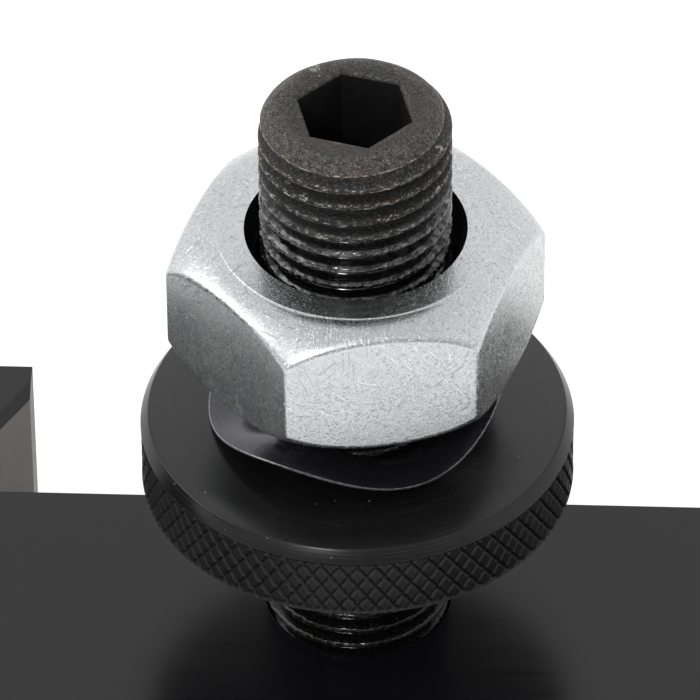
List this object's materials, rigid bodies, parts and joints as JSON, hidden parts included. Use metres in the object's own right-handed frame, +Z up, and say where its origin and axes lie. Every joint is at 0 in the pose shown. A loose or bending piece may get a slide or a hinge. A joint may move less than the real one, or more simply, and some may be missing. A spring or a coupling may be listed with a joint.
{
  "type": "quick change tool post",
  "caption": "Piston-locked quick change tool post on a T-nut, with a dovetail tool holder beside it and its threaded height stud, knurled thumb nut, waved washer and lock nut.",
  "frame": {"origin": "on the post's swivel axis at the underside of the T-nut", "axes": "+Z up along the centre stud, turning dovetail facing -Y, boring dovetail facing -X, the loose tool holder towards +X with its groove facing +Y"},
  "size_m": [0.2093, 0.0811, 0.1034],
  "materials": {
    "black_ground": "black oxide over a ground face, satin to gloss",
    "black_turned": "black oxide over turned and knurled steel",
    "black_screw": "oiled black oxide with worn brown-grey crests",
    "zinc_plate": "bright zinc plate with fine tumbling scratches",
    "spring_steel": "dark polished strip with a bright edge",
    "bright_steel": "turned and ground bright steel",
    "machined_steel": "milled grey steel",
    "black_plastic": "moulded black phenolic"
  },
  "bodies": {
    "base": {"t_nut": "machined_steel", "center_stud": "bright_steel"},
    "post": {"post_body": "black_ground", "center_bush": "bright_steel", "stop_pin": "bright_steel"},
    "lever": {"cam_sleeve": "black_turned", "handle_rod": "bright_steel", "handle_knob": "black_plastic"},
    "front_piston": {"piston_front": "bright_steel"},
    "side_piston": {"piston_side": "bright_steel"},
    "washer_stack": {"top_washer": "bright_steel"},
    "top_nut": {"center_nut": "bright_steel"},
    "holder": {"holder_body": "black_ground", "height_stud": "black_screw"},
    "height_washer": {"spring_washer": "spring_steel"},
    "knurled_nut": {"thumb_nut": "black_turned"},
    "jam_nut": {"lock_nut": "zinc_plate"},
    "screw_1": {"clamp_screw_1": "black_screw"},
    "screw_2": {"clamp_screw_2": "black_screw"},
    "screw_3": {"clamp_screw_3": "black_screw"},
    "screw_4": {"clamp_screw_4": "black_screw"}
  },
  "joints": [
    {"name": "post_swivel", "type": "hinge", "parent": "base", "child": "post", "pos_m": [0, 0, 0.0127], "axis": [0, 0, 1], "continuous": true},
    {"name": "handle_lock", "type": "hinge", "parent": "post", "child": "lever", "pos_m": [0, 0, 0.07], "axis": [0, 0, -1], "range_deg": [0, 75]},
    {"name": "front_piston_out", "type": "slide", "parent": "post", "child": "front_piston", "axis": [0, -1, 0], "range_m": [0, 0.0012]},
    {"name": "side_piston_out", "type": "slide", "parent": "post", "child": "side_piston", "axis": [-1, 0, 0], "range_m": [0, 0.0012]},
    {"name": "top_washer_rise", "type": "slide", "parent": "base", "child": "washer_stack", "axis": [0, 0, 1], "range_m": [0, 0.003]},
    {"name": "top_nut_turn", "type": "hinge", "parent": "washer_stack", "child": "top_nut", "pos_m": [0, 0, 0.0885], "axis": [0, 0, 1], "range_deg": [0, 540]},
    {"name": "holder_lift", "type": "slide", "parent": "base", "child": "holder", "axis": [0, 0, 1], "range_m": [0, 0.08]},
    {"name": "height_travel", "type": "slide", "parent": "holder", "child": "height_washer", "axis": [0, 0, 1], "range_m": [-0.007, 0.003]},
    {"name": "thumb_nut_turn", "type": "hinge", "parent": "height_washer", "child": "knurled_nut", "pos_m": [0.135, 0, 0.0459], "axis": [0, 0, 1], "range_deg": [-2520, 1080]},
    {"name": "lock_nut_travel", "type": "slide", "parent": "height_washer", "child": "jam_nut", "axis": [0, 0, 1], "range_m": [-0.0006, 0.005]},
    {"name": "clamp_screw_1_travel", "type": "slide", "parent": "holder", "child": "screw_1", "axis": [0, 0, 1], "range_m": [-0.006, 0.004]},
    {"name": "clamp_screw_2_travel", "type": "slide", "parent": "holder", "child": "screw_2", "axis": [0, 0, 1], "range_m": [-0.006, 0.004]},
    {"name": "clamp_screw_3_travel", "type": "slide", "parent": "holder", "child": "screw_3", "axis": [0, 0, 1], "range_m": [-0.006, 0.004]},
    {"name": "clamp_screw_4_travel", "type": "slide", "parent": "holder", "child": "screw_4", "axis": [0, 0, 1], "range_m": [-0.006, 0.004]}
  ],
  "couplings": [
    {"joint": "front_piston_out", "follows": "handle_lock", "m_per_rad": 0.000916},
    {"joint": "side_piston_out", "follows": "handle_lock", "m_per_rad": 0.000916},
    {"joint": "top_nut_turn", "follows": "top_washer_rise", "rad_per_m": 3141.6},
    {"joint": "thumb_nut_turn", "follows": "height_travel", "rad_per_m": 6283.2}
  ]
}
